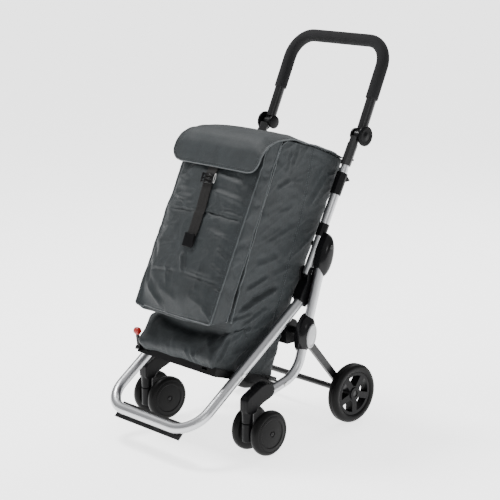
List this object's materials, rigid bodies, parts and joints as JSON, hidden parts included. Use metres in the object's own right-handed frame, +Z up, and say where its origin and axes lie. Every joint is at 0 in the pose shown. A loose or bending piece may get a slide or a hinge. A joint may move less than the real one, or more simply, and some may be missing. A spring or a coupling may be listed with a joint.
{
  "type": "folding shopping trolley",
  "caption": "Folding shopping trolley with a lidded fabric bag on a tube frame, twin-wheel swivel casters in front, rear wheels on folding legs and a tilting telescopic handle.",
  "frame": {"origin": "centre of the bounding box's bottom face, on the ground under the wheels", "axes": "+X to the trolley's right side, -Y to the front (casters), +Z up"},
  "size_m": [0.4872, 0.7282, 1.0137],
  "materials": {
    "aluminium_tube": "satin anodised",
    "black_plastic": "fine matt",
    "black_gloss": "smooth, glossy",
    "black_paint": "semi-gloss powder coat",
    "foam": "fine foam, matt",
    "wheel_rubber": "smooth, matt",
    "pad_rubber": "matt",
    "silver_plastic": "silver lacquer",
    "red_plastic": "smooth, glossy",
    "bag_fabric": "woven polyester, slate grey",
    "strap_webbing": "ribbed webbing",
    "fastener_steel": "zinc plated"
  },
  "bodies": {
    "side_frame": {"side_tube_left": "aluminium_tube", "side_tube_right": "aluminium_tube", "hinge_cover_left": "black_gloss", "hinge_cover_right": "black_gloss", "fold_pin_left": "fastener_steel", "fold_pin_right": "fastener_steel", "leg_joint_left": "black_gloss", "leg_joint_right": "black_gloss", "joint_cap_left": "silver_plastic", "joint_cap_right": "silver_plastic", "cross_beam": "black_plastic", "caster_housing_left": "black_plastic", "caster_housing_right": "black_plastic", "bag_body": "bag_fabric", "bag_pocket": "bag_fabric"},
    "upper_frame": {"upper_tube_left": "aluminium_tube", "upper_tube_right": "aluminium_tube", "tube_collar_left": "black_plastic", "tube_collar_right": "black_plastic", "clamp_sleeve_left": "black_plastic", "clamp_sleeve_right": "black_plastic"},
    "catch_left": {"clamp_catch_left": "black_plastic"},
    "catch_right": {"clamp_catch_right": "black_plastic"},
    "handle_slide": {"inner_tube_left": "aluminium_tube", "inner_tube_right": "aluminium_tube", "handle_socket_left": "black_paint", "handle_socket_right": "black_paint"},
    "handle": {"handle_tube": "black_paint", "foam_grip": "foam", "tilt_knob_left": "black_plastic", "tilt_knob_right": "black_plastic"},
    "front_frame": {"front_tube": "aluminium_tube", "frame_connector_left": "black_plastic", "frame_connector_right": "black_plastic", "link_pin_left": "fastener_steel", "link_pin_right": "fastener_steel", "tray_link_bolt_left": "fastener_steel", "tray_link_bolt_right": "fastener_steel", "foot_pad": "pad_rubber"},
    "tray": {"tray": "black_plastic", "tray_bolt_left": "fastener_steel", "tray_bolt_right": "fastener_steel"},
    "release": {"release_lever": "black_plastic", "release_knob": "red_plastic"},
    "rear_legs": {"rear_leg_left": "black_paint", "rear_leg_right": "black_paint", "rear_axle": "black_paint"},
    "rear_wheel_left": {"rear_rim_left": "black_plastic", "rear_tyre_left": "wheel_rubber"},
    "rear_wheel_right": {"rear_rim_right": "black_plastic", "rear_tyre_right": "wheel_rubber"},
    "caster_left": {"caster_fork_left": "black_plastic"},
    "caster_right": {"caster_fork_right": "black_plastic"},
    "caster_left_inner": {"caster_wheel_inner_left": "wheel_rubber"},
    "caster_left_outer": {"caster_wheel_outer_left": "wheel_rubber"},
    "caster_right_inner": {"caster_wheel_inner_right": "wheel_rubber"},
    "caster_right_outer": {"caster_wheel_outer_right": "wheel_rubber"},
    "flap": {"bag_flap": "bag_fabric", "bag_strap": "strap_webbing", "strap_buckle": "black_gloss"}
  },
  "joints": [
    {"name": "frame_fold", "type": "hinge", "parent": "side_frame", "child": "upper_frame", "pos_m": [0, 0.0859, 0.498], "axis": [1, 0, 0], "range_deg": [0, 140], "deforming": ["bag_body", "bag_pocket", "bag_flap", "bag_strap", "strap_buckle"]},
    {"name": "front_frame_fold", "type": "hinge", "parent": "upper_frame", "child": "front_frame", "pos_m": [0, 0.0514, 0.432], "axis": [1, 0, 0], "range_deg": [-150, 0]},
    {"name": "tray_fold", "type": "hinge", "parent": "side_frame", "child": "tray", "pos_m": [0, -0.0656, 0.1635], "axis": [1, 0, 0], "range_deg": [-75, 0]},
    {"name": "tray_release", "type": "hinge", "parent": "tray", "child": "release", "pos_m": [-0.142, -0.25723, 0.22411], "axis": [1, 0, 0], "range_deg": [0, 30], "stiffness_Nm_per_rad": 0.15},
    {"name": "rear_leg_fold", "type": "hinge", "parent": "side_frame", "child": "rear_legs", "pos_m": [0, 0.0194, 0.279], "axis": [1, 0, 0], "range_deg": [-40, 0]},
    {"name": "rear_wheel_left_spin", "type": "hinge", "parent": "rear_legs", "child": "rear_wheel_left", "pos_m": [-0.1984, 0.1914, 0.08], "axis": [1, 0, 0], "continuous": true},
    {"name": "rear_wheel_right_spin", "type": "hinge", "parent": "rear_legs", "child": "rear_wheel_right", "pos_m": [0.1984, 0.1914, 0.08], "axis": [1, 0, 0], "continuous": true},
    {"name": "caster_left_swivel", "type": "hinge", "parent": "side_frame", "child": "caster_left", "pos_m": [-0.1966, -0.1866, 0.06], "axis": [0, 0, 1], "continuous": true},
    {"name": "caster_left_inner_spin", "type": "hinge", "parent": "caster_left", "child": "caster_left_inner", "pos_m": [-0.15941, -0.14913, 0.0584], "axis": [0.9956, -0.0941, 0], "continuous": true},
    {"name": "caster_left_outer_spin", "type": "hinge", "parent": "caster_left", "child": "caster_left_outer", "pos_m": [-0.22611, -0.14283, 0.0584], "axis": [0.9956, -0.0941, 0], "continuous": true},
    {"name": "caster_right_swivel", "type": "hinge", "parent": "side_frame", "child": "caster_right", "pos_m": [0.1966, -0.1866, 0.06], "axis": [0, 0, 1], "continuous": true},
    {"name": "caster_right_inner_spin", "type": "hinge", "parent": "caster_right", "child": "caster_right_inner", "pos_m": [0.1619, -0.14681, 0.0584], "axis": [0.9996, 0.0297, 0], "continuous": true},
    {"name": "caster_right_outer_spin", "type": "hinge", "parent": "caster_right", "child": "caster_right_outer", "pos_m": [0.22887, -0.14482, 0.0584], "axis": [0.9996, 0.0297, 0], "continuous": true},
    {"name": "handle_height", "type": "slide", "parent": "upper_frame", "child": "handle_slide", "axis": [0, 0.4633, 0.8862], "range_m": [0, 0.12]},
    {"name": "clamp_catch_left_flip", "type": "hinge", "parent": "upper_frame", "child": "catch_left", "pos_m": [-0.1686, 0.18695, 0.65114], "axis": [1, 0, 0], "range_deg": [-60, 0]},
    {"name": "clamp_catch_right_flip", "type": "hinge", "parent": "upper_frame", "child": "catch_right", "pos_m": [0.1686, 0.18695, 0.65114], "axis": [1, 0, 0], "range_deg": [-60, 0]},
    {"name": "handle_tilt", "type": "hinge", "parent": "handle_slide", "child": "handle", "pos_m": [0, 0.2409, 0.7635], "axis": [1, 0, 0], "range_deg": [-60, 70]},
    {"name": "flap_open", "type": "hinge", "parent": "upper_frame", "child": "flap", "pos_m": [0, 0.1964, 0.707], "axis": [1, 0, 0], "range_deg": [-85, 0]}
  ],
  "couplings": [
    {"joint": "front_frame_fold", "follows": "frame_fold", "ratio": -1.03},
    {"joint": "tray_fold", "follows": "frame_fold", "ratio": -0.4757}
  ]
}
